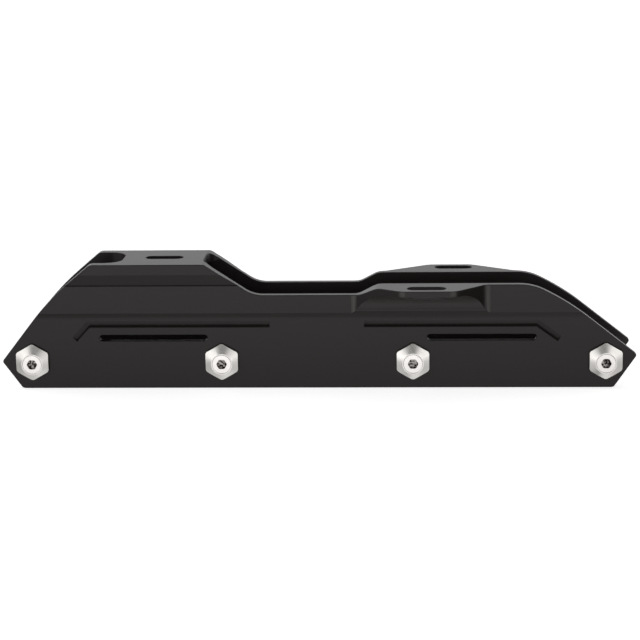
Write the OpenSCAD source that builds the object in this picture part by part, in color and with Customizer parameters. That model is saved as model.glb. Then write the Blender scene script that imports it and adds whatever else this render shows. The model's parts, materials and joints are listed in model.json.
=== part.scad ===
// Inline skate frame for four wheels, milled from one extrusion, with keyed axle inserts.
// +X points to the toe, +Y to the left, +Z up. The origin is under the middle of the wheelbase,
// on the surface that the bottom edges stand on. Sizes are in millimetres and degrees.

/* [Axles] */
// Distance between the first and the last axle
wheelbase = 290; // [260:1:320]
// Height of the axle line over the bottom edges
axle_h = 13.2; // [12:0.1:18]
// Diameter of an axle's shaft
shaft_d = 8; // [6:0.1:8.4]
// Diameter of an axle's head
head_d = 9.6; // [9:0.1:10.4]
// Height of an axle's head
head_h = 3; // [2.6:0.1:3.6]
// Distance across the lobes of the drive socket
socket_d = 4.5; // [4:0.1:6]
// Diameter of a lobe of the drive socket
lobe_d = 1.15; // [0.8:0.05:1.6]
// Depth of the drive socket
socket_deep = 2.4; // [1.5:0.1:2.5]
// How far the axle's end stays below the face of its nut insert
end_inset = 0.5; // [0:0.1:1.5]
// Chamfer on the axle's end
end_chamfer = 0.8; // [0.2:0.1:1.2]
// Radial clearance of the axle in its inserts
axle_fit = 0.05; // [0.02:0.01:0.1]

/* [Wheels] */
// Largest wheel that the frame takes
wheel_d = 90; // [84:1:96]
// Free space round a wheel
wheel_room = 2; // [1:0.5:3]

/* [Section] */
// Clear width between the side plates
gap = 27.6; // [25:0.1:32]
// Thickness of a side plate
plate_t = 3.6; // [3:0.1:5]
// How far the milled middle band stands out from the plate
band_step = 0.4; // [0.3:0.1:1.5]
// How far the heel flank stands out from the plate
flank_step = 2.2; // [1.2:0.1:4]
// Height of the upright part of the heel flank
flank_h = 5.2; // [3:0.1:7]
// Height of the front mounts over the axle line
deck_over_axle = 40.2; // [38:0.1:46]
// Height of the heel mount over the top of a wheel
heel_over_wheel = 6.3; // [4.5:0.1:9]
// Thickness of a wing at its outer edge
wing_t = 3.1; // [2.5:0.1:5]
// Radius of the cove under a wing
cove_r = 14.5; // [10:0.5:18]
// Chamfer along the bottom edges
bottom_chamfer = 0.7; // [0.2:0.1:1.2]

/* [Side outline] */
// Length of the bottom edge behind the first axle
rear_foot = 5.5; // [2:0.1:9]
// Length of the bottom edge ahead of the last axle
front_foot = 4; // [2:0.1:9]
// Length of the pointed ends past the end axles
tip_past_axle = 15.7; // [13:0.1:22]
// Height of the rear point
rear_tip_h = 14.3; // [11:0.1:18]
// Height of the front point
front_tip_h = 17.1; // [11:0.1:20]
// Slope of the rear edge above its point
rear_angle = 51.9; // [48:0.1:60]
// Slope of the rear edge where it meets the heel
crest_angle = 40; // [34:0.5:44]
// Height of the bend between the two rear slopes
rear_bend_h = 46.2; // [44:0.1:54]
// Radius of the rear bend
rear_bend_r = 135; // [60:5:140]
// Slope of the front edge above its point
front_angle = 38.2; // [34:0.2:42]
// Slope of the front edge where it meets the deck
brow_angle = 27; // [22:0.5:30]
// Height of the bend between the two front slopes
front_bend_h = 44.2; // [40:0.1:46]
// Radius of the front bend
front_bend_r = 125; // [60:5:130]
// Radius where the front slope meets the deck
brow_r = 28; // [10:1:32]
// Height of the waist over the axle line
waist_over_axle = 35.2; // [32:0.1:37]
// Slope from the heel down to the waist
heel_slope = 33.4; // [28:0.2:40]
// Radius where the heel slope meets the waist
waist_r = 16.5; // [8:0.5:26]
// Slope from the waist up to the front deck
ramp_angle = 27.5; // [25:0.5:40]
// Radius at both ends of the ramp
ramp_r = 9.5; // [3:0.5:10]
// Radius of the heel's corners, seen from the side
heel_corner_r = 4; // [1:0.5:6]
// Radius of the pointed ends
point_r = 1.5; // [0.5:0.1:4]
// Radius of the bottom corners
foot_r = 2.5; // [1:0.5:4]

/* [Heel mount] */
// Distance of the heel slot in front of the first axle
heel_from_axle = 66.9; // [62:0.1:70]
// Length of the heel platform between the plates
heel_l = 41.6; // [36:0.2:44]
// Thickness of the heel platform
heel_t = 6; // [4:0.5:8]
// Length of the heel's top in front of its slot
heel_front = 21.9; // [21.5:0.1:26]
// Corner radius of the rear notch
rear_notch_r = 9; // [4:0.5:12]
// Corner radius of the front notch
front_notch_r = 6.3; // [3:0.1:9]

/* [Front mounts] */
// Distance of the middle of the front slots in front of the third axle
toe_from_axle = 14; // [10:0.1:18]
// How far the left front slot lies ahead of the right one
toe_stagger = 14.6; // [0:0.2:20]
// Distance between the front slots across the frame
slot_span = 53; // [50:0.5:60]
// Distance of the middle of the front slots ahead of the ramp's top
ramp_back = 31.7; // [26:0.1:34]
// Width of the wing outside the middle of its slot
wing_edge = 7.4; // [6:0.1:12]
// Length of the wing's straight edge behind its slot's middle
wing_behind = 12.7; // [10:0.1:18]
// Length of the right wing's straight edge ahead of its slot's middle
right_wing_ahead = 14.5; // [10:0.5:20]
// Length of the left wing's straight edge ahead of its slot's middle
left_wing_ahead = 9.5; // [8:0.5:20]
// Run of a wing's slanted edge behind
wing_run_behind = 23; // [16:0.5:28]
// Run of the right wing's slanted edge ahead
right_wing_run_ahead = 15; // [12:0.5:30]
// Run of the left wing's slanted edge ahead
left_wing_run_ahead = 22; // [12:0.5:30]
// Radius of a wing's outer corners
wing_corner_r = 7; // [2:0.5:10]
// Radius where a wing leaves the plate
wing_root_r = 6; // [2:0.5:8]

/* [Mounting slots] */
// Width of a mounting slot
slot_w = 7.5; // [5:0.1:8.5]
// Length of a mounting slot
slot_l = 19.4; // [14:0.1:24]

/* [Bridges] */
// Height of the bridges between the wheels over the axle line
bridge_over_axle = 22.5; // [20:0.5:24]
// Thickness of the bridges
bridge_t = 5; // [3:0.5:6]

/* [Windows and grooves] */
// Height of the windows' lower edge over the axle line
window_over_axle = 11.6; // [11:0.1:14]
// Height of a window
window_h = 3.2; // [2:0.1:4]
// Distance of a window from the inner axle
window_from_inner = 7.1; // [2:0.1:14]
// Distance of a window from the outer axle
window_from_outer = 34.7; // [26:0.1:44]
// Width of a groove at the plate's face
groove_w = 3.2; // [2:0.1:3.6]
// Tilt of a groove's wide side from the plate
groove_tilt = 24; // [12:1:32]
// Distance of a groove's upper edge below the cove
groove_below_cove = 0.7; // [0.5:0.1:3]
// Distance of a groove's inner end from the inner axle
groove_from_inner = 24.3; // [16:0.1:30]
// Height of a groove's slanted end
groove_drop = 8.2; // [6:0.1:9]
// Distance of the rear groove's bend from the first axle
rear_groove_bend = 28.5; // [26:0.1:36]
// Slope of the rear groove's slanted end
rear_groove_angle = 47.5; // [40:0.5:55]
// Distance of the front groove's bend from the last axle
front_groove_bend = 33.7; // [28:0.1:38]
// Slope of the front groove's slanted end
front_groove_angle = 36; // [30:0.5:45]

/* [Axle inserts] */
// Width of an insert across its flats
insert_af = 16.5; // [16:0.1:18.5]
// Diameter that rounds off an insert's corners
insert_round_d = 18.4; // [17.5:0.1:20]
// How far an insert stands out from the plate
insert_proud = 2.8; // [2.4:0.1:4.5]
// Height of an insert's upright rim
insert_rim = 1.2; // [0.6:0.1:2]
// Width of the flat ring round the axle's head
insert_ring = 0.5; // [0.2:0.1:1]
// Depth of the keyed pocket that holds an insert
pocket_deep = 0.8; // [0.4:0.1:1.5]
// Diameter of the round neck that passes through the plate
neck_d = 13; // [12.4:0.1:14]
// How far an insert stands out inside, as a stop for the wheel's bearing
boss_h = 1.7; // [0.5:0.1:3]
// Least width of the shoulder between the neck and that stop
boss_shoulder = 0.3; // [0.2:0.1:0.8]
// Distance of the axle below the middle of its insert
axle_drop = 1; // [0:0.1:1.2]
// Clearance of an insert in its seat
insert_fit = 0.04; // [0.02:0.01:0.1]

/* [Hidden] */
$fn = 72;
AXLES = 4;

anodised = "#262628";
turned = "#c9cbce";
steel = "#e3e4e6";

// Overlap of a cut past the face that it opens
over = 1;

pitch = wheelbase / (AXLES - 1);
function axle_x(i) = -wheelbase / 2 + (i - 1) * pitch;

// Planes across the frame, as distances from its middle
inner_y = gap / 2;
plate_y = inner_y + plate_t;
band_y = plate_y + band_step;
flank_y = plate_y + flank_step;
wing_y = slot_span / 2 + wing_edge;

// Heights
deck_z = axle_h + deck_over_axle;
heel_z = axle_h + wheel_d / 2 + heel_over_wheel;
waist_z = axle_h + waist_over_axle;
cove_top_z = deck_z - wing_t;
cove_z = cove_top_z - cove_r;
bridge_z = axle_h + bridge_over_axle;
insert_z = axle_h + axle_drop;
wheel_space_r = wheel_d / 2 + wheel_room;

// Places along the frame
tip_x = wheelbase / 2 + tip_past_axle;
heel_x = axle_x(1) + heel_from_axle;
toe_x = axle_x(3) + toe_from_axle;
heel_end_x = heel_x + heel_front;
waist_x = heel_end_x + (heel_z - waist_z) / tan(heel_slope);
ramp_top_x = toe_x - ramp_back;
ramp_foot_x = ramp_top_x - (deck_z - waist_z) / tan(ramp_angle);
rear_bend_x = -tip_x + (rear_bend_h - rear_tip_h) / tan(rear_angle);
heel_start_x = rear_bend_x + (heel_z - rear_bend_h) / tan(crest_angle);
front_bend_x = tip_x - (front_bend_h - front_tip_h) / tan(front_angle);
deck_end_x = front_bend_x - (deck_z - front_bend_h) / tan(brow_angle);

// Points of an axle, as distances from the frame's middle
face_y = plate_y + insert_proud;
axle_end_y = face_y - end_inset;

function unit(v) = v / norm(v);
// Steps that an arc of this radius and sweep is drawn with
function arc_steps(r, sweep) = max(3, ceil(sweep * sqrt(r) / 20));

// Points of the arc that rounds the corner b between a and c
function corner(a, b, c, r) =
  let (u = unit(a - b), v = unit(c - b), half = acos(u * v) / 2)
  let (middle = b + unit(u + v) * r / sin(half), reach = r / tan(half))
  let (from = b + u * reach - middle, start = atan2(from.y, from.x))
  let (turn = cross(u, v) > 0 ? 2 * half - 180 : 180 - 2 * half)
  let (n = arc_steps(r, abs(turn)))
  [for (k = [0:n]) middle + r * [cos(start + turn * k / n), sin(start + turn * k / n)]];

// Outline with round corners, from corners given as [x, y, radius]
function rounded(c) =
  let (n = len(c), p = [for (q = c) [q.x, q.y]])
  [for (i = [0:n - 1])
    each c[i].z == 0 ? [p[i]] : corner(p[(i + n - 1) % n], p[i], p[(i + 1) % n], c[i].z)];

// Slot with round ends, centred, along X
module slot_shape(l, w) {
  for (s = [-1, 1]) translate([s * (l - w) / 2, 0]) circle(d = w);
  square([l - w, w], center = true);
}

// Shape drawn in X and Z, made as thick as t across the frame
module across(t) {
  rotate([90, 0, 0]) linear_extrude(t, center = true) children();
}

// Side view of the whole frame
module side_outline() {
  polygon(rounded([
    [axle_x(1) - rear_foot, 0, foot_r],
    [axle_x(4) + front_foot, 0, foot_r],
    [tip_x, front_tip_h, point_r],
    [front_bend_x, front_bend_h, front_bend_r],
    [deck_end_x, deck_z, brow_r],
    [ramp_top_x, deck_z, ramp_r],
    [ramp_foot_x, waist_z, ramp_r],
    [waist_x, waist_z, waist_r],
    [heel_end_x, heel_z, heel_corner_r],
    [heel_start_x, heel_z, heel_corner_r],
    [rear_bend_x, rear_bend_h, rear_bend_r],
    [-tip_x, rear_tip_h, point_r]
  ]));
}

// Left half of the extruded section, with its cove still filled
module rail_section() {
  polygon([
    [inner_y, 0],
    [plate_y - bottom_chamfer, 0],
    [plate_y, bottom_chamfer],
    [plate_y, cove_z],
    [wing_y, cove_z],
    [wing_y, deck_z],
    [plate_y, deck_z],
    [flank_y, heel_z - flank_h],
    [flank_y, heel_z],
    [inner_y, heel_z]
  ]);
}

// Left rail of the extrusion, with the cove that runs under the wing
module rail() {
  long = 2 * tip_x;
  difference() {
    rotate([90, 0, 90]) linear_extrude(long, center = true) rail_section();
    translate([0, plate_y + cove_r, cove_z])
      rotate([0, 90, 0]) cylinder(r = cove_r, h = long + 2 * over, center = true);
    translate([-long / 2 - over, plate_y + cove_r, cove_z - over])
      cube([long + 2 * over, wing_y, cove_r + over]);
  }
}

// Heel platform between the plates, with a round notch behind and in front
module heel_platform() {
  back_x = heel_x - heel_l / 2;
  front_x = heel_x + heel_l / 2;
  translate([0, 0, heel_z - heel_t]) linear_extrude(heel_t) difference() {
    translate([back_x - rear_notch_r, -plate_y])
      square([heel_l + rear_notch_r + front_notch_r, 2 * plate_y]);
    polygon(rounded([
      [back_x, -inner_y, rear_notch_r],
      [back_x, inner_y, rear_notch_r],
      [back_x - 2 * rear_notch_r, inner_y, 0],
      [back_x - 2 * rear_notch_r, -inner_y, 0]
    ]));
    polygon(rounded([
      [front_x, inner_y, front_notch_r],
      [front_x, -inner_y, front_notch_r],
      [front_x + 2 * front_notch_r, -inner_y, 0],
      [front_x + 2 * front_notch_r, inner_y, 0]
    ]));
  }
}

// Web that ties the plates together, before the wheels' room is cut from it
module web() {
  translate([axle_x(1), -plate_y, bridge_z]) cube([wheelbase, 2 * plate_y, bridge_t]);
}

// Room that the turning wheels need
module wheel_spaces() {
  for (i = [1:AXLES])
    translate([axle_x(i), 0, axle_h]) across(2 * plate_y + 2 * over) circle(r = wheel_space_r);
}

// What the upright cutter takes off the left flange, all but the wing round a slot at x
module wing_milling(x, ahead, run_ahead) {
  start_x = x - wing_behind;
  end_x = x + ahead;
  far_x = tip_x + over;
  translate([0, 0, -over]) linear_extrude(deck_z + 2 * over) difference() {
    translate([-far_x, 0]) square([2 * far_x, wing_y + over]);
    polygon(rounded([
      [-far_x - over, -over, 0],
      [far_x + over, -over, 0],
      [far_x + over, band_y, 0],
      [end_x + run_ahead, band_y, wing_root_r],
      [end_x, wing_y, wing_corner_r],
      [start_x, wing_y, wing_corner_r],
      [start_x - wing_run_behind, band_y, wing_root_r],
      [-far_x - over, band_y, 0]
    ]));
  }
}

// Upright mounting slot through whatever lies at this place
module mount_slot(x, y, low, high) {
  translate([x, y, low]) linear_extrude(high - low) slot_shape(slot_l, slot_w);
}

// Long windows through both plates, one at each end of the frame
module windows() {
  inner_x = axle_x(3) + window_from_inner;
  outer_x = axle_x(4) - window_from_outer;
  for (s = [0, 1])
    mirror([s, 0, 0])
      translate([(inner_x + outer_x) / 2, 0, axle_h + window_over_axle + window_h / 2])
        across(2 * plate_y + 2 * over) slot_shape(outer_x - inner_x, window_h);
}

// All that lies outside the plane of a groove's wide side, which leans into the left plate below 0
module groove_wide_side(far) {
  rotate([90, 0, 90]) linear_extrude(2 * far, center = true) polygon([
    [plate_y + over, over / tan(groove_tilt)],
    [plate_y - far * tan(groove_tilt), -far],
    [plate_y + over, -far]
  ]);
}

// All that lies under the plane of a groove's narrow side, which is square to the wide one
module groove_narrow_side(far) {
  rotate([90, 0, 90]) linear_extrude(2 * far, center = true) polygon([
    [plate_y + 2 * over, -groove_w - 2 * over * tan(groove_tilt)],
    [inner_y, -groove_w + plate_t * tan(groove_tilt)],
    [inner_y, -2 * far],
    [plate_y + 2 * over, -2 * far]
  ]);
}

// Groove along the left plate's outer face, bent down at its outer end with a mitre
module groove(bend_x, slope) {
  run = bend_x - axle_x(3) + groove_from_inner;
  leg = groove_drop / sin(slope);
  far = run + leg;
  low = groove_w + over;
  along = [cos(slope), -sin(slope)];
  aside = [sin(slope), cos(slope)];
  translate([bend_x, 0, cove_z - groove_below_cove]) difference() {
    intersection() {
      translate([0, plate_y, 0]) across(2 * plate_t) polygon([
        [-run, over],
        [over * tan(slope / 2), over],
        leg * along + over * aside,
        leg * along - low * aside,
        [-low * tan(slope / 2), -low],
        [-run, -low]
      ]);
      groove_wide_side(far);
      rotate([0, slope, 0]) groove_wide_side(far);
    }
    intersection() {
      groove_narrow_side(far);
      rotate([0, slope, 0]) groove_narrow_side(far);
    }
  }
}

// Outline of an insert, and of its pocket with some room around it
module insert_outline(room) {
  intersection() {
    rotate(30) circle(d = (insert_af + 2 * room) / cos(30), $fn = 6);
    circle(d = insert_round_d + 2 * room);
  }
}

// Keyed pocket and round hole for one insert in the left plate
module insert_seat() {
  translate([0, plate_y, 0]) across(2 * pocket_deep) insert_outline(insert_fit);
  translate([0, inner_y + plate_t / 2, 0])
    across(plate_t + 2 * over) circle(d = neck_d + 2 * insert_fit);
}

module frame_body() {
  color(anodised) difference() {
    intersection() {
      across(2 * wing_y + 2 * over) side_outline();
      union() {
        for (s = [0, 1]) mirror([0, s, 0]) rail();
        difference() {
          union() {
            heel_platform();
            web();
          }
          wheel_spaces();
        }
      }
    }
    wing_milling(toe_x + toe_stagger / 2, left_wing_ahead, left_wing_run_ahead);
    mirror([0, 1, 0])
      wing_milling(toe_x - toe_stagger / 2, right_wing_ahead, right_wing_run_ahead);
    mount_slot(heel_x, 0, deck_z, heel_z + over);
    mount_slot(toe_x + toe_stagger / 2, slot_span / 2, cove_z, deck_z + over);
    mount_slot(toe_x - toe_stagger / 2, -slot_span / 2, cove_z, deck_z + over);
    windows();
    for (t = [0, 1]) mirror([0, t, 0]) {
      groove(axle_x(4) - front_groove_bend, front_groove_angle);
      mirror([1, 0, 0]) groove(axle_x(4) - rear_groove_bend, rear_groove_angle);
    }
    for (i = [1:AXLES], t = [0, 1])
      mirror([0, t, 0]) translate([axle_x(i), 0, insert_z]) insert_seat();
  }
}

// Insert for the left plate, with its axle at the middle of X and Z
module insert_blank() {
  ring_r = head_d / 2 + axle_fit + insert_ring;
  rim_r = insert_round_d / 2 + axle_drop;
  cone_slope = (insert_proud - insert_rim) / (rim_r - ring_r);
  seat_y = plate_y - pocket_deep;
  low_y = plate_y + insert_rim - cone_slope * over;
  intersection() {
    translate([0, (seat_y + face_y) / 2, axle_drop])
      across(face_y - seat_y) insert_outline(0);
    rotate([-90, 0, 0]) rotate_extrude() polygon([
      [0, seat_y - over],
      [rim_r + over, seat_y - over],
      [rim_r + over, low_y],
      [ring_r, face_y],
      [0, face_y]
    ]);
  }
  translate([0, (inner_y + seat_y) / 2, axle_drop]) across(seat_y - inner_y) circle(d = neck_d);
  translate([0, inner_y - boss_h / 2, 0])
    across(boss_h) circle(d = neck_d - 2 * axle_drop - 2 * boss_shoulder);
}

// Bore of an insert for the left plate
module insert_bore() {
  translate([0, (inner_y + face_y) / 2, 0])
    across(face_y - inner_y + 2 * (boss_h + over)) circle(d = shaft_d + 2 * axle_fit);
}

// Insert on the right, which takes the axle's head in a counterbore
module head_insert(i) {
  color(turned) translate([axle_x(i), 0, axle_h]) mirror([0, 1, 0]) difference() {
    insert_blank();
    insert_bore();
    translate([0, face_y, 0]) across(2 * head_h) circle(d = head_d + 2 * axle_fit);
  }
}

// Insert on the left, which the axle screws into
module nut_insert(i) {
  color(turned) translate([axle_x(i), 0, axle_h]) difference() {
    insert_blank();
    insert_bore();
  }
}

// Six-lobed drive socket, as a flat shape
module socket_shape() {
  circle(d = socket_d - lobe_d);
  for (k = [0:5]) rotate(60 * k) translate([(socket_d - lobe_d) / 2, 0]) circle(d = lobe_d);
}

// Axle screw, put in from the right, head outwards
module axle(i) {
  shaft_l = axle_end_y + face_y - head_h;
  color(steel) translate([axle_x(i), 0, axle_h]) difference() {
    rotate([-90, 0, 0]) rotate_extrude() polygon([
      [0, -face_y],
      [head_d / 2, -face_y],
      [head_d / 2, -face_y + head_h],
      [shaft_d / 2, -face_y + head_h],
      [shaft_d / 2, -face_y + head_h + shaft_l - end_chamfer],
      [shaft_d / 2 - end_chamfer, axle_end_y],
      [0, axle_end_y]
    ]);
    translate([0, -face_y, 0]) across(2 * socket_deep) socket_shape();
  }
}

frame_body();
for (i = [1:AXLES]) {
  axle(i);
  head_insert(i);
  nut_insert(i);
}
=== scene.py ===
"""Finishes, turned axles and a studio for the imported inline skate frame, laid out as an add-on."""

import json
import math
from contextlib import contextmanager

import bmesh
import bpy
from bpy.props import FloatProperty, FloatVectorProperty, IntProperty, PointerProperty
from mathutils import Matrix, Vector


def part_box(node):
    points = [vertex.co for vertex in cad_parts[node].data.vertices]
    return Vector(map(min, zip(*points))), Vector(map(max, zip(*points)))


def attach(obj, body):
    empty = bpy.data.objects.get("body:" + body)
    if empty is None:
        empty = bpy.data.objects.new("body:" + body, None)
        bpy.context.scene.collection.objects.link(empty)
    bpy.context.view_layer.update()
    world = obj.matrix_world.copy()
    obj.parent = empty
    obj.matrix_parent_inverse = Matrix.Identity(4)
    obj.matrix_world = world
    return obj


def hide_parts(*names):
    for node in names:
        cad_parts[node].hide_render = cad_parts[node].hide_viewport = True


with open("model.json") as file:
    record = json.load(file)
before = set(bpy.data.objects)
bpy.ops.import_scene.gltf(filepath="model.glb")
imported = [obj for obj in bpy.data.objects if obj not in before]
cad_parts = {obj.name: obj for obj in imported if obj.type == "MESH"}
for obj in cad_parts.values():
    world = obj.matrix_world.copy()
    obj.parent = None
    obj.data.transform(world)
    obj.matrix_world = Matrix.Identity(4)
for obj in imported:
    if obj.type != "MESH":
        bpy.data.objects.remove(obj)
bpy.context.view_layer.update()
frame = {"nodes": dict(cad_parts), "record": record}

bl_info = {
    "name": "Inline skate frame",
    "version": (1, 0, 0),
    "blender": (4, 5, 0),
    "location": "3D View > Sidebar > Skate Frame",
    "description": "Finishes the parts of an inline skate frame and sets up its studio",
    "category": "Object",
}

MM = 0.001
AXLES = (1, 2, 3, 4)

# The axle screws are all alike and lie along Y, with their heads on the right.
AXLE_BOXES = {i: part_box(f"axle_{i}") for i in AXLES}
AXLE_MIDDLES = {i: (low + high) / 2 for i, (low, high) in AXLE_BOXES.items()}
AXLE_LENGTH = AXLE_BOXES[1][1].y - AXLE_BOXES[1][0].y
HEAD_RADIUS = (AXLE_BOXES[1][1].x - AXLE_BOXES[1][0].x) / 2
AXLE_PITCH = AXLE_MIDDLES[2].x - AXLE_MIDDLES[1].x
MOUNTS = {mount["name"]: mount for mount in frame["record"]["mounts"]}
WING_SLOT_Y = abs(MOUNTS["right_wing_slot"]["pos_m"][1])

# The front wings lie ahead of the middle, above this height and further out than this.
WING_LOW_Z = 36 * MM
WING_INNER_Y = 16 * MM

# The walls of a wing slot lie within this of its middle line.
SLOT_REACH = 5 * MM

# Nearly all values of a noise lie between these.
NOISE_LOW, NOISE_HIGH = 0.3, 0.7

# The room that the metal mirrors has bands of light. Each is a product of ramps over the direction in
# which the room is seen: the axis of a ramp, where it starts and ends, and its levels there.
ROOM_BANDS = {
    "front": (
        ("Y", -0.3, 0.1, 1.0, 0.0),
        ("X", -0.9, -0.5, 0.5, 1.0),
        ("X", 0.65, 1.0, 1.0, 0.15),
        ("Z", -0.15, 0.15, 0.98, 0.22)),
    "floor underneath": (
        ("Z", -0.9, -0.75, 0.65, 0.0),),
    "wall behind": (
        ("Y", 0.1, 0.5, 0.0, 1.18),
        ("Z", 0.25, 0.55, 1.0, 0.2)),
}

# It also has soft round pools of light and shade: azimuth from straight out of the right side, elevation,
# the angles from the middle within which a pool is full and beyond which it is gone, and its level. The
# angles are in degrees.
ROOM_POOLS = {
    "shaded floor": (-11, -35, 4, 14, -1.0),
    "lit floor": (8, -38, 6, 20, 0.4),
    "glow ahead": (-6, -5, 4, 26, 0.75),
    "left softbox": (-33, 13, 5, 22, 0.74),
    "right softbox": (29, 17, 5, 24, 0.64),
    "left window": (-88, 18, 12, 35, 1.1),
}


def linear(code):
    """Linear RGBA of an sRGB hex code."""
    parts = [int(code[k:k + 2], 16) / 255 for k in (1, 3, 5)]
    return tuple(c / 12.92 if c <= 0.04045 else ((c + 0.055) / 1.055) ** 2.4 for c in parts) + (1.0,)


class BodyFinish(bpy.types.PropertyGroup):
    """Edges and finish of the milled body"""

    edge_break: FloatProperty(
        name="Edge break", description="Width of the broken edges",
        default=0.3 * MM, min=0.05 * MM, max=0.6 * MM, subtype="DISTANCE", unit="LENGTH")
    dye: FloatVectorProperty(
        name="Dye", description="Colour of the dyed oxide skin",
        default=linear("#221C1C"), size=4, min=0, max=1, subtype="COLOR")
    dye_thin: FloatVectorProperty(
        name="Thin dye", description="Colour where the dye took less well",
        default=linear("#2A2424"), size=4, min=0, max=1, subtype="COLOR")
    # Painted highlights on the wing corners, and painted light in the shaded coves under the wing edges.
    painted_light_colour: FloatVectorProperty(
        name="Painted wing light", description="Colour where the cutter burnished the metal before it was dyed",
        default=linear("#565250"), size=4, min=0, max=1, subtype="COLOR")
    die_line: FloatProperty(
        name="Die line", description="Spacing of the lines that the extrusion die leaves",
        default=0.8 * MM, min=0.2 * MM, max=3 * MM, subtype="DISTANCE", unit="LENGTH")
    grain: FloatProperty(
        name="Etch grain", description="Size of the grain of the etched surface",
        default=0.5 * MM, min=0.1 * MM, max=2 * MM, subtype="DISTANCE", unit="LENGTH")


class InsertFinish(bpy.types.PropertyGroup):
    """Edges and finish of the turned hex inserts"""

    edge_break: FloatProperty(
        name="Edge break", description="Width of the broken edges",
        default=0.12 * MM, min=0.02 * MM, max=0.3 * MM, subtype="DISTANCE", unit="LENGTH")
    metal: FloatVectorProperty(
        name="Metal", description="Colour of the bare aluminium",
        default=linear("#EBE8E4"), size=4, min=0, max=1, subtype="COLOR")
    feed: FloatProperty(
        name="Feed", description="Spacing of the rings that the turning tool leaves",
        default=0.25 * MM, min=0.05 * MM, max=1 * MM, subtype="DISTANCE", unit="LENGTH")


class AxleShape(bpy.types.PropertyGroup):
    """Shape and finish of the axle screws"""

    shaft: FloatProperty(
        name="Shaft", description="Diameter of the shaft",
        default=8 * MM, min=6 * MM, max=8.4 * MM, subtype="DISTANCE", unit="LENGTH")
    head: FloatProperty(
        name="Head", description="Height of the head",
        default=3 * MM, min=2.6 * MM, max=3.6 * MM, subtype="DISTANCE", unit="LENGTH")
    socket: FloatProperty(
        name="Socket", description="Distance across the lobes of the drive socket",
        default=5.2 * MM, min=4 * MM, max=6 * MM, subtype="DISTANCE", unit="LENGTH")
    socket_deep: FloatProperty(
        name="Socket depth", description="Depth of the drive socket",
        default=2.2 * MM, min=1 * MM, max=2.4 * MM, subtype="DISTANCE", unit="LENGTH")
    thread: FloatProperty(
        name="Thread", description="Length of the thread",
        default=9 * MM, min=4 * MM, max=14 * MM, subtype="DISTANCE", unit="LENGTH")
    pitch: FloatProperty(
        name="Pitch", description="Pitch of the thread",
        default=1 * MM, min=0.5 * MM, max=1.5 * MM, subtype="DISTANCE", unit="LENGTH")
    feed: FloatProperty(
        name="Feed", description="Spacing of the rings that the turning tool leaves",
        default=0.2 * MM, min=0.05 * MM, max=1 * MM, subtype="DISTANCE", unit="LENGTH")
    sides: IntProperty(
        name="Sides", description="Sides of the round faces", default=72, min=24, max=144)
    plating: FloatVectorProperty(
        name="Plating", description="Colour of the plated steel",
        default=linear("#EFECE9"), size=4, min=0, max=1, subtype="COLOR")
    # Painted shade for the deep drive socket.
    socket_shade: FloatVectorProperty(
        name="Grease", description="Colour inside the drive socket",
        default=linear("#211E1D"), size=4, min=0, max=1, subtype="COLOR")
    # Painted glints in the drive socket's shade.
    socket_glint: FloatVectorProperty(
        name="Thin grease", description="Colour inside the drive socket where the steel shows",
        default=linear("#BAB5B1"), size=4, min=0, max=1, subtype="COLOR")


class StageLook(bpy.types.PropertyGroup):
    """Camera, lamps and floor"""

    azimuth: FloatProperty(
        name="Azimuth", description="Camera's turn round the frame, from straight at its right side",
        default=math.radians(2.69), subtype="ANGLE")
    elevation: FloatProperty(
        name="Elevation", description="Camera's angle above the floor",
        default=math.radians(13.15), subtype="ANGLE")
    roll: FloatProperty(
        name="Roll", description="Camera's turn about its own line of sight",
        default=math.radians(-0.8), subtype="ANGLE")
    distance: FloatProperty(
        name="Distance", description="Distance from the camera to its target",
        default=0.937, min=0.3, subtype="DISTANCE", unit="LENGTH")
    target: FloatVectorProperty(
        name="Target", description="Point that the camera looks at",
        default=(0.84 * MM, 0, 31.4 * MM), size=3, subtype="TRANSLATION", unit="LENGTH")
    lens: FloatProperty(
        name="Lens", description="Focal length in millimetres on a 36 mm sensor", default=102.8, min=10)
    paper: FloatVectorProperty(
        name="Paper", description="Colour of the paper floor",
        default=linear("#E0E0E0"), size=4, min=0, max=1, subtype="COLOR")
    softbox: FloatProperty(
        name="Softbox", description="Power of each front softbox in watts", default=0.2, min=0)
    overhead: FloatProperty(
        name="Overhead", description="Power of the overhead panel in watts", default=3.5, min=0)


def node(tree, kind, inputs=None, **settings):
    """Add a shader node, set its properties, and fill its inputs with values or links."""
    made = tree.nodes.new(kind)
    for name, value in settings.items():
        setattr(made, name, value)
    for name, value in (inputs or {}).items():
        if isinstance(value, bpy.types.NodeSocket):
            tree.links.new(value, made.inputs[name])
        else:
            made.inputs[name].default_value = value
    return made


def new_material(name):
    """An empty node material and the tree that it is built in."""
    material = bpy.data.materials.new(name)
    material.use_nodes = True
    material.node_tree.nodes.clear()
    return material, material.node_tree


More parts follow.
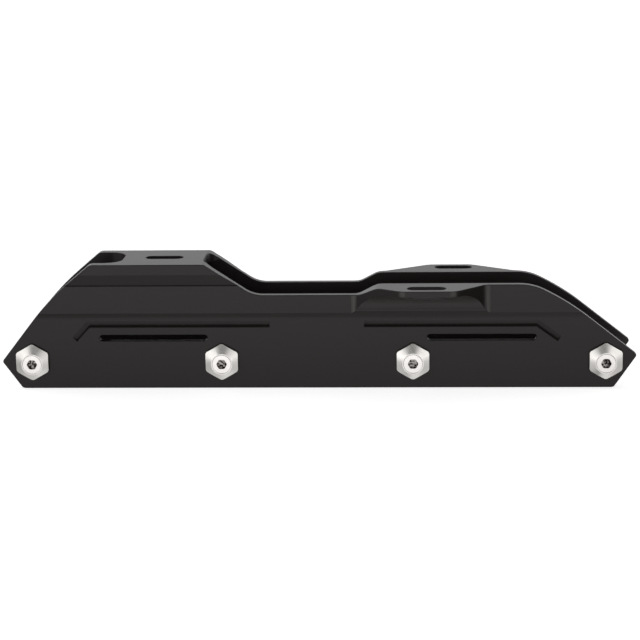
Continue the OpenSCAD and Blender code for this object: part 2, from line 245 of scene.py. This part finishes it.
def black_anodised_aluminium(finish):
    """Extruded and milled aluminium, etched, anodised and dyed black.

    The dye sits in a clear oxide skin, so the eye sees a near-black body under a soft gloss that turns
    pale at a low angle. The skin is porous, so it mirrors less than solid oxide would. Die lines run
    along the extrusion, and the etch leaves a fine grain. Both are finer in life, and are drawn as coarse
    as they need to show.
    """
    material, tree = new_material("black_anodised_aluminium")
    place = node(tree, "ShaderNodeTexCoord").outputs["Object"]
    # Die lines are much longer than they are wide.
    across, stretch = 1 / finish.die_line, 60
    drawn = node(tree, "ShaderNodeMapping", {
        "Vector": place, "Scale": (across / stretch, across, across)})
    lines = node(tree, "ShaderNodeTexNoise", {"Vector": drawn.outputs[0], "Scale": 1.0, "Detail": 3.0})
    grain = node(tree, "ShaderNodeTexNoise", {
        "Vector": place, "Scale": 1 / finish.grain, "Detail": 2.0})
    # The dye varies in clouds a few centimetres wide.
    clouds = node(tree, "ShaderNodeTexNoise", {"Vector": place, "Scale": 1 / (30 * MM), "Detail": 2.0})
    depth = node(tree, "ShaderNodeMath", {
        0: lines.outputs[0], 1: clouds.outputs[0]}, operation="MULTIPLY")
    colour = node(tree, "ShaderNodeMix", {
        "Factor": depth.outputs[0], 6: finish.dye, 7: finish.dye_thin}, data_type="RGBA")
    # Painted highlights on the wing corners and painted light in the shaded coves under them, as a
    # lighter colour marked on the mesh.
    painted_wing_light = node(tree, "ShaderNodeAttribute", attribute_name="painted_wing_light")
    with_painted_light = node(tree, "ShaderNodeMix", {
        "Factor": painted_wing_light.outputs["Fac"], 6: colour.outputs[2], 7: finish.painted_light_colour}, data_type="RGBA")
    gloss = node(tree, "ShaderNodeMapRange", {
        "Value": grain.outputs[0], "From Min": NOISE_LOW, "From Max": NOISE_HIGH,
        "To Min": 0.33, "To Max": 0.4})
    relief = node(tree, "ShaderNodeMath", {0: lines.outputs[0], 1: grain.outputs[0]}, operation="ADD")
    bump = node(tree, "ShaderNodeBump", {
        "Height": relief.outputs[0], "Strength": 0.05, "Distance": 0.1 * MM})
    shader = node(tree, "ShaderNodeBsdfPrincipled", {
        "Base Color": with_painted_light.outputs[2], "Roughness": gloss.outputs[0], "IOR": 1.38,
        "Normal": bump.outputs[0]})
    node(tree, "ShaderNodeOutputMaterial", {"Surface": shader.outputs[0]})
    return material


def turned_rings(tree, feed):
    """Object coordinates, and the height of the rings that a turning tool leaves round each axle."""
    place = node(tree, "ShaderNodeTexCoord").outputs["Object"]
    parts = node(tree, "ShaderNodeSeparateXYZ", {0: place})
    # The axles stand half a pitch off the middle, so one wrap brings each of them to the same place.
    wrapped = node(tree, "ShaderNodeMath", {
        0: parts.outputs["X"], 1: AXLE_PITCH, 2: 0.0}, operation="WRAP")
    aside = node(tree, "ShaderNodeMath", {0: wrapped.outputs[0], 1: AXLE_PITCH / 2}, operation="SUBTRACT")
    above = node(tree, "ShaderNodeMath", {
        0: parts.outputs["Z"], 1: AXLE_MIDDLES[1].z}, operation="SUBTRACT")
    centred = node(tree, "ShaderNodeCombineXYZ", {
        "X": aside.outputs[0], "Y": parts.outputs["Y"], "Z": above.outputs[0]})
    # A wave of scale 1 repeats every 2 pi / 20 units.
    wave = 2 * math.pi / 20
    rings = node(tree, "ShaderNodeTexWave", {
        "Vector": centred.outputs[0], "Scale": wave / feed, "Distortion": 0.4, "Detail": 2.0},
        wave_type="RINGS", rings_direction="Y")
    return place, rings.outputs["Fac"]


def turned_aluminium(finish):
    """Bare aluminium hex bar, faced and coned on a lathe.

    Fine rings spread the highlights into fans that run out from the axle, and the metal stays soft and
    pale.
    """
    material, tree = new_material("turned_aluminium")
    place, rings = turned_rings(tree, finish.feed)
    cloud = node(tree, "ShaderNodeTexNoise", {"Vector": place, "Scale": 1 / (2 * MM), "Detail": 3.0})
    gloss = node(tree, "ShaderNodeMapRange", {
        "Value": cloud.outputs[0], "From Min": NOISE_LOW, "From Max": NOISE_HIGH,
        "To Min": 0.18, "To Max": 0.25})
    bump = node(tree, "ShaderNodeBump", {"Height": rings, "Strength": 0.03, "Distance": 0.02 * MM})
    shader = node(tree, "ShaderNodeBsdfPrincipled", {
        "Base Color": finish.metal, "Metallic": 1.0, "Roughness": gloss.outputs[0],
        "Normal": bump.outputs[0]})
    node(tree, "ShaderNodeOutputMaterial", {"Surface": shader.outputs[0]})
    return material


def plated_steel(shape):
    """Turned steel screw, plated bright.

    The plating evens out the tool's rings, so the flat head mirrors the room as one soft pale disc.
    """
    material, tree = new_material("plated_steel")
    place, rings = turned_rings(tree, shape.feed)
    cloud = node(tree, "ShaderNodeTexNoise", {"Vector": place, "Scale": 1 / (1.5 * MM), "Detail": 3.0})
    gloss = node(tree, "ShaderNodeMapRange", {
        "Value": cloud.outputs[0], "From Min": NOISE_LOW, "From Max": NOISE_HIGH,
        "To Min": 0.16, "To Max": 0.24})
    bump = node(tree, "ShaderNodeBump", {"Height": rings, "Strength": 0.03, "Distance": 0.02 * MM})
    shader = node(tree, "ShaderNodeBsdfPrincipled", {
        "Base Color": shape.plating, "Metallic": 1.0, "Roughness": gloss.outputs[0],
        "Normal": bump.outputs[0]})
    node(tree, "ShaderNodeOutputMaterial", {"Surface": shader.outputs[0]})
    return material


def socket_painted_shade(shape):
    """Punched steel drive socket, dull and dark with painted shade for its deep recess, mottled with
    painted glints.
    """
    material, tree = new_material("socket_painted_shade")
    place = node(tree, "ShaderNodeTexCoord").outputs["Object"]
    # Noise that mottles the painted socket shade with painted glints.
    socket_mottle = node(tree, "ShaderNodeTexNoise", {"Vector": place, "Scale": 1 / (1.1 * MM), "Detail": 1.0})
    glint_share = node(tree, "ShaderNodeMapRange", {
        "Value": socket_mottle.outputs[0], "From Min": 0.43, "From Max": 0.62})
    colour = node(tree, "ShaderNodeMix", {
        "Factor": glint_share.outputs[0], 6: shape.socket_shade, 7: shape.socket_glint}, data_type="RGBA")
    shader = node(tree, "ShaderNodeBsdfPrincipled", {
        "Base Color": colour.outputs[2], "Metallic": 1.0, "Roughness": 0.4})
    node(tree, "ShaderNodeOutputMaterial", {"Surface": shader.outputs[0]})
    return material


def paper_sweep(look):
    """Matt white paper under the frame.

    Seen directly it glows a little, more so far off, which keeps the background white and leaves the
    frame's own soft shadow on it. Reflections look through it to the lower half of the pale room.
    """
    material, tree = new_material("white_paper")
    path = node(tree, "ShaderNodeLightPath")
    place = node(tree, "ShaderNodeTexCoord").outputs["Object"]
    away = node(tree, "ShaderNodeVectorMath", {0: place}, operation="LENGTH")
    direct = node(tree, "ShaderNodeMapRange", {
        "Value": away.outputs["Value"], "From Min": 0.3, "From Max": 1.2, "To Min": 0.77, "To Max": 0.9})
    seen = node(tree, "ShaderNodeMath", {
        0: path.outputs["Is Camera Ray"], 1: direct.outputs[0]}, operation="MULTIPLY")
    matt = node(tree, "ShaderNodeBsdfDiffuse", {"Color": look.paper})
    light = node(tree, "ShaderNodeEmission", {"Strength": seen.outputs[0]})
    paper = node(tree, "ShaderNodeAddShader", {0: matt.outputs[0], 1: light.outputs[0]})
    bounced = node(tree, "ShaderNodeMath", {
        0: path.outputs["Is Glossy Ray"], 1: path.outputs["Is Transmission Ray"]}, operation="MAXIMUM")
    # The paper close to the frame lies in its shade.
    parts = node(tree, "ShaderNodeSeparateXYZ", {0: place})
    beside = node(tree, "ShaderNodeMath", {0: parts.outputs["Y"]}, operation="ABSOLUTE")
    shade = node(tree, "ShaderNodeMapRange", {
        "Value": beside.outputs[0], "From Min": 0.04, "From Max": 0.25, "To Min": 0.6, "To Max": 1.0})
    clear = node(tree, "ShaderNodeBsdfTransparent", {"Color": shade.outputs[0]})
    both = node(tree, "ShaderNodeMixShader", {
        0: bounced.outputs[0], 1: paper.outputs[0], 2: clear.outputs[0]})
    node(tree, "ShaderNodeOutputMaterial", {"Surface": both.outputs[0]})
    return material


def only(piece):
    """Select this object alone and make it active."""
    bpy.ops.object.select_all(action="DESELECT")
    piece.select_set(True)
    bpy.context.view_layer.objects.active = piece


@contextmanager
def editing(piece, select_mode="VERT"):
    """Edit mode on one piece, with nothing selected, as its edit mesh."""
    only(piece)
    bpy.ops.object.mode_set(mode="EDIT")
    bpy.ops.mesh.select_mode(type=select_mode)
    bpy.ops.mesh.select_all(action="DESELECT")
    yield bmesh.from_edit_mesh(piece.data)
    bpy.ops.object.mode_set(mode="OBJECT")


def finish_piece(piece, body, nodes, material):
    """Give a piece its finish, its body and the CAD nodes that it stands for."""
    piece.data.materials.clear()
    piece.data.materials.append(material)
    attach(piece, body)
    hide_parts(*nodes)


def merged_copy(name, part):
    """Copy of a CAD node as one closed mesh, with its flat faces whole.

    Doubles lie within rounding of each other, and faces of one plane within a fifth of a degree.
    """
    source = frame["nodes"][part]
    piece = bpy.data.objects.new(name, source.data.copy())
    bpy.context.scene.collection.objects.link(piece)
    if piece.data.has_custom_normals:
        only(piece)
        bpy.ops.mesh.customdata_custom_splitnormals_clear()
    with editing(piece):
        bpy.ops.mesh.select_all(action="SELECT")
        bpy.ops.mesh.remove_doubles(threshold=0.02 * MM)
        bpy.ops.mesh.dissolve_limited(angle_limit=math.radians(0.2))
    return piece


def break_edges(piece, width, sharp):
    """Round off the outer edges that are sharper than an angle, and smooth the curved faces."""
    with editing(piece, "EDGE") as mesh:
        for edge in mesh.edges:
            edge.select_set(edge.is_convex and edge.calc_face_angle(0) > sharp)
        bpy.ops.mesh.bevel(offset=width, segments=2, affect="EDGES", clamp_overlap=False,
                           loop_slide=False)
    only(piece)
    # The finest edge that has to stay crisp is the 13 degrees under the middle band.
    bpy.ops.object.shade_smooth_by_angle(angle=math.radians(12.5))
    weighted = piece.modifiers.new("Flat faces first", "WEIGHTED_NORMAL")
    weighted.keep_sharp = True
    bpy.ops.object.modifier_apply(modifier=weighted.name)


def paint_wing_light(piece):
    """Paint highlights on the front wings' upright round corners, and paint light into the shaded coves
    under their edges.

    The mark is strongest half-way round a corner, fades to the flat faces on either side, and leaves out
    the insides of the slots. Under an edge it grows towards the top of the cove.
    """
    # A corner's painted highlight rises over the first angle, falls over the second and ends at the
    # third, in degrees.
    rise, fall, end = 7, 8, 30
    # A face is upright below the first slope. The painted light in the cove's shade starts at the second
    # slope and is full, at the share given third, at twice that slope.
    upright, cove, cove_light_share = 0.05, 0.3, 0.5
    mesh = piece.data
    # Share of painted highlight or painted cove light at each face corner.
    layer = mesh.attributes.new("painted_wing_light", "FLOAT", "CORNER")
    marked, shares = [], {}
    for face in mesh.polygons:
        place, normal = face.center, face.normal
        in_slot = abs(abs(place.y) - WING_SLOT_Y) < SLOT_REACH
        if place.x < 0 or place.z < WING_LOW_Z or abs(place.y) < WING_INNER_Y:
            continue
        if abs(normal.z) < upright and not in_slot:
            turn = math.degrees(math.atan2(abs(normal.x), abs(normal.y)))
            mark = max(0.0, min(1.0, turn / rise, (end - turn) / fall))
        elif normal.z < -cove:
            mark = cove_light_share * min(1.0, (-normal.z - cove) / cove)
        else:
            continue
        for vert in face.vertices:
            shares.setdefault(vert, []).append(mark)
        if mark > 0:
            marked.append(face)
    for face in marked:
        for corner, vert in zip(face.loop_indices, face.vertices):
            layer.data[corner].value = sum(shares[vert]) / len(shares[vert])


class SKATEFRAME_OT_body(bpy.types.Operator):
    """Break the edges of the milled body and give it its black finish"""

    bl_idname = "skate_frame.body"
    bl_label = "Body"

    def execute(self, context):
        finish = context.scene.skate_body
        body = merged_copy("milled_body", "frame_body")
        # The steps of the bends and coves are less sharp than this, and stay as they are.
        break_edges(body, finish.edge_break, math.radians(32))
        # Painted highlights on the wing corners and painted light in the shade under their edges.
        paint_wing_light(body)
        finish_piece(body, "frame", ["frame_body"],
                     black_anodised_aluminium(finish))
        return {"FINISHED"}


class SKATEFRAME_OT_inserts(bpy.types.Operator):
    """Break the edges of the hex inserts and give them their turned finish"""

    bl_idname = "skate_frame.inserts"
    bl_label = "Axle inserts"

    def execute(self, context):
        finish = context.scene.skate_inserts
        metal = turned_aluminium(finish)
        for i in AXLES:
            for kind in ("head_insert", "nut_insert"):
                part = f"{kind}_{i}"
                insert = merged_copy(f"turned_{part}", part)
                # The steps round the cones and bores are less sharp than this.
                break_edges(insert, finish.edge_break, math.radians(20))
                finish_piece(insert, "frame", [part], metal)
        return {"FINISHED"}


def lathe(mesh, middle, start_y, stations):
    """Draw the selected ring on through stations, each a way along +Y from start_y and a radius."""
    for along, radius in stations:
        bpy.ops.mesh.extrude_region_move()
        ring = next(v for v in mesh.verts if v.select)
        scale = radius / math.hypot(ring.co.x - middle.x, ring.co.z - middle.z)
        bpy.ops.transform.translate(value=(0, start_y + along - ring.co.y, 0))
        bpy.ops.transform.resize(
            value=(scale, 1, scale), center_override=(middle.x, start_y + along, middle.z))


def thread_ridge(shape, middle, tip_y, root, crest):
    """Helical ridge of the thread, from its start on the shank to just short of the axle's tip."""
    bpy.ops.object.select_all(action="DESELECT")
    start = Vector((middle.x, tip_y - shape.thread, middle.z))
    bpy.ops.mesh.primitive_plane_add(size=1, location=start)
    ridge = bpy.context.object
    # Half the widths of the ridge at its foot and at its crest
    foot, flat = 0.42 * shape.pitch, 0.07 * shape.pitch
    with editing(ridge) as mesh:
        bpy.ops.mesh.select_all(action="SELECT")
        bpy.ops.mesh.delete(type="ONLY_FACE")
        sunk = root - 0.2 * MM
        corners = [(sunk, -foot), (crest, -flat), (sunk, foot), (crest, flat)]
        for vert, (out, along) in zip(mesh.verts, corners):
            vert.co = (out, along, 0)
    turns = round(shape.thread / shape.pitch) - 1
    screw = ridge.modifiers.new("Thread", "SCREW")
    screw.axis = "Y"
    screw.screw_offset = shape.pitch
    screw.iterations = turns
    screw.steps = screw.render_steps = shape.sides // 2
    only(ridge)
    bpy.ops.object.modifier_apply(modifier=screw.name)
    bpy.ops.object.transform_apply(location=True, rotation=True, scale=True)
    with editing(ridge, "EDGE") as mesh:
        for edge in mesh.edges:
            edge.select_set(edge.is_boundary)
        bpy.ops.mesh.fill_holes(sides=0)
        bpy.ops.mesh.select_all(action="SELECT")
        bpy.ops.mesh.normals_make_consistent(inside=False)
    return ridge


def model_axle(shape, i):
    """Axle screw at the place of axle i: chamfered head, lobed socket, plain shank and thread."""
    middle = AXLE_MIDDLES[i]
    face_y, tip_y = AXLE_BOXES[i][0].y, AXLE_BOXES[i][1].y
    shaft = shape.shaft / 2
    # The crests of the thread stay just inside the shaft's width, and its depth goes with its pitch.
    crest = shaft - 0.05 * MM
    root = crest - 0.55 * shape.pitch
    neck = AXLE_LENGTH - shape.thread
    face_edge, back_edge, fillet, taper = 0.12 * MM, 0.15 * MM, 0.2 * MM, 0.6 * MM
    lobes = 6
    bpy.ops.object.select_all(action="DESELECT")
    bpy.ops.mesh.primitive_circle_add(
        vertices=shape.sides, radius=HEAD_RADIUS - face_edge, location=(middle.x, face_y, middle.z),
        rotation=(math.radians(90), 0, 0))
    axle = bpy.context.object
    bpy.ops.object.transform_apply(location=True, rotation=True, scale=True)
    with editing(axle) as mesh:
        rim = list(mesh.verts)
        bpy.ops.mesh.select_all(action="SELECT")
        lathe(mesh, middle, face_y, [
            (face_edge, HEAD_RADIUS),
            (shape.head - back_edge, HEAD_RADIUS),
            (shape.head, HEAD_RADIUS - back_edge),
            (shape.head, shaft + fillet),
            (shape.head + fillet, shaft),
            (neck - taper, shaft),
            (neck, root),
            (AXLE_LENGTH - taper, root),
            (AXLE_LENGTH, root - taper),
        ])
        bpy.ops.mesh.edge_face_add()
        bpy.ops.mesh.select_all(action="DESELECT")
        for vert in rim:
            vert.select_set(True)
        mesh.select_flush(True)
        # The socket's wall waves in and out round a mean radius.
        mean = 0.482 * shape.socket
        wave = shape.socket / 2 - mean
        lathe(mesh, middle, face_y, [(0, mean)])
        for vert in [v for v in mesh.verts if v.select]:
            angle = math.atan2(vert.co.z - middle.z, vert.co.x - middle.x)
            reach = 1 + wave / mean * math.cos(lobes * angle)
            vert.co.x = middle.x + (vert.co.x - middle.x) * reach
            vert.co.z = middle.z + (vert.co.z - middle.z) * reach
        bpy.ops.mesh.extrude_region_move()
        bpy.ops.transform.translate(value=(0, shape.socket_deep, 0))
        bpy.ops.mesh.edge_face_add()
        bpy.ops.mesh.select_all(action="SELECT")
        bpy.ops.mesh.normals_make_consistent(inside=False)
    ridge = thread_ridge(shape, middle, tip_y, root, crest)
    only(axle)
    ridge.select_set(True)
    bpy.ops.object.join()
    # The steps round the shaft are smoothed, and the chamfers stay crisp.
    bpy.ops.object.shade_smooth_by_angle(angle=math.radians(35))
    return axle


class SKATEFRAME_OT_axles(bpy.types.Operator):
    """Turn the axle screws, with their sockets and threads"""

    bl_idname = "skate_frame.axles"
    bl_label = "Axles"

    def execute(self, context):
        shape = context.scene.skate_axles
        steel = plated_steel(shape)
        dark = socket_painted_shade(shape)
        first = model_axle(shape, 1)
        for i in AXLES:
            axle = first
            if i > 1:
                axle = bpy.data.objects.new(f"axle_screw_{i}", first.data.copy())
                bpy.context.scene.collection.objects.link(axle)
                axle.data.transform(Matrix.Translation(AXLE_MIDDLES[i] - AXLE_MIDDLES[1]))
            axle.name = f"axle_screw_{i}"
            finish_piece(axle, f"axle_{i}", [f"axle_{i}"], steel)
            # The socket's recess gets painted shade with painted glints.
            axle.data.materials.append(dark)
            # The socket's wall and floor are behind the head's flat face.
            mouth = Vector((AXLE_MIDDLES[i].x, AXLE_BOXES[i][0].y, AXLE_MIDDLES[i].z))
            slack, behind = 0.1 * MM, 0.01 * MM
            for face in axle.data.polygons:
                way = face.center - mouth
                inside = math.hypot(way.x, way.z) < shape.socket / 2 + slack
                face.material_index = int(inside and behind < way.y < shape.socket_deep + slack)
        return {"FINISHED"}


def panel_lamp(name, place, size, watts):
    """Soft rectangular lamp that faces the frame."""
    bpy.ops.object.light_add(type="AREA")
    lamp = bpy.context.object
    lamp.name = name
    lamp.data.shape = "RECTANGLE"
    lamp.data.size, lamp.data.size_y = size
    lamp.data.energy = watts
    frame_middle = Vector((0, 0, 30 * MM))
    lamp.location = place
    lamp.rotation_mode = "QUATERNION"
    lamp.rotation_quaternion = (frame_middle - Vector(place)).to_track_quat("-Z", "Y")


def studio_world():
    """World of the pale room, with its bands and pools of light added up."""
    world = bpy.data.worlds.new("pale_room")
    world.use_nodes = True
    tree = world.node_tree
    tree.nodes.clear()
    way = node(tree, "ShaderNodeTexCoord").outputs["Generated"]
    parts = node(tree, "ShaderNodeSeparateXYZ", {0: way})
    levels = []
    for ramps in ROOM_BANDS.values():
        band = None
        for axis, start, end, low, high in ramps:
            ramp = node(tree, "ShaderNodeMapRange", {
                "Value": parts.outputs[axis], "From Min": start, "From Max": end,
                "To Min": low, "To Max": high}).outputs[0]
            if band is None:
                band = ramp
            else:
                band = node(tree, "ShaderNodeMath", {0: band, 1: ramp}, operation="MULTIPLY").outputs[0]
        levels.append(band)
    for azimuth, elevation, full, gone, strength in ROOM_POOLS.values():
        turn, rise = math.radians(azimuth), math.radians(elevation)
        middle = (math.sin(turn) * math.cos(rise), -math.cos(turn) * math.cos(rise), math.sin(rise))
        near = node(tree, "ShaderNodeVectorMath", {0: way, 1: middle}, operation="DOT_PRODUCT")
        pool = node(tree, "ShaderNodeMapRange", {
            "Value": near.outputs["Value"], "From Min": math.cos(math.radians(gone)),
            "From Max": math.cos(math.radians(full)), "To Min": 0.0, "To Max": strength},
            interpolation_type="SMOOTHSTEP")
        levels.append(pool.outputs[0])
    level = levels[0]
    for other in levels[1:]:
        level = node(tree, "ShaderNodeMath", {0: level, 1: other}, operation="ADD").outputs[0]
    # Seen directly, the room is plain white.
    path = node(tree, "ShaderNodeLightPath")
    shown = node(tree, "ShaderNodeMath", {
        0: level, 1: path.outputs["Is Camera Ray"]}, operation="MAXIMUM")
    back = node(tree, "ShaderNodeBackground", {
        "Color": (1.0, 1.0, 1.0, 1.0), "Strength": shown.outputs[0]})
    node(tree, "ShaderNodeOutputWorld", {"Surface": back.outputs[0]})
    return world


class SKATEFRAME_OT_stage(bpy.types.Operator):
    """Lay the white floor and set the lamps and the camera"""

    bl_idname = "skate_frame.stage"
    bl_label = "Stage"

    def execute(self, context):
        look = context.scene.skate_stage
        # The floor runs on past what the camera sees.
        floor_size = 16
        bpy.ops.mesh.primitive_plane_add(size=floor_size)
        floor = bpy.context.object
        floor.name = "floor"
        floor.data.materials.append(paper_sweep(look))
        context.scene.world = studio_world()
        # Two softboxes stand before the right side, and a large panel hangs overhead.
        for name, side in (("softbox_left", -1), ("softbox_right", 1)):
            panel_lamp(name, place=(side * 0.62, -0.76, 0.19), size=(0.65, 0.36), watts=look.softbox)
        panel_lamp("overhead", place=(0, 0.25, 1.4), size=(1.6, 0.9), watts=look.overhead)
        self.place_camera(context, look)
        context.scene.view_settings.view_transform = "Standard"
        return {"FINISHED"}

    def place_camera(self, context, look):
        """Camera at the photograph's angle."""
        across = Vector((math.cos(look.azimuth), math.sin(look.azimuth), 0))
        level = Vector((-math.sin(look.azimuth), math.cos(look.azimuth), 0))
        ahead = level * math.cos(look.elevation) - Vector((0, 0, math.sin(look.elevation)))
        up = across.cross(ahead)
        right = across * math.cos(look.roll) + up * math.sin(look.roll)
        top = up * math.cos(look.roll) - across * math.sin(look.roll)
        bpy.ops.object.camera_add()
        camera = bpy.context.object
        camera.data.lens = look.lens
        turn = Matrix((right, top, -ahead)).transposed().to_4x4()
        camera.matrix_world = Matrix.Translation(Vector(look.target) - ahead * look.distance) @ turn
        context.scene.camera = camera


class SKATEFRAME_PT_panel(bpy.types.Panel):
    """Sizes, colours and steps of the skate frame"""

    bl_label = "Skate Frame"
    bl_idname = "SKATEFRAME_PT_panel"
    bl_space_type = "VIEW_3D"
    bl_region_type = "UI"
    bl_category = "Skate Frame"

    def draw(self, context):
        for operator, group in STEPS:
            box = self.layout.box()
            settings = getattr(context.scene, group)
            for name in settings.__annotations__:
                box.prop(settings, name)
            box.operator(operator.bl_idname)


GROUPS = {
    "skate_body": BodyFinish,
    "skate_inserts": InsertFinish,
    "skate_axles": AxleShape,
    "skate_stage": StageLook,
}
STEPS = (
    (SKATEFRAME_OT_body, "skate_body"),
    (SKATEFRAME_OT_inserts, "skate_inserts"),
    (SKATEFRAME_OT_axles, "skate_axles"),
    (SKATEFRAME_OT_stage, "skate_stage"),
)
CLASSES = tuple(GROUPS.values()) + tuple(step for step, _ in STEPS) + (SKATEFRAME_PT_panel,)


def register():
    for cls in CLASSES:
        bpy.utils.register_class(cls)
    for name, group in GROUPS.items():
        setattr(bpy.types.Scene, name, PointerProperty(type=group))


def unregister():
    for name in GROUPS:
        delattr(bpy.types.Scene, name)
    for cls in reversed(CLASSES):
        bpy.utils.unregister_class(cls)


def main():
    register()
    bpy.ops.skate_frame.body()
    bpy.ops.skate_frame.inserts()
    bpy.ops.skate_frame.axles()
    bpy.ops.skate_frame.stage()


if __name__ == "__main__":
    main()
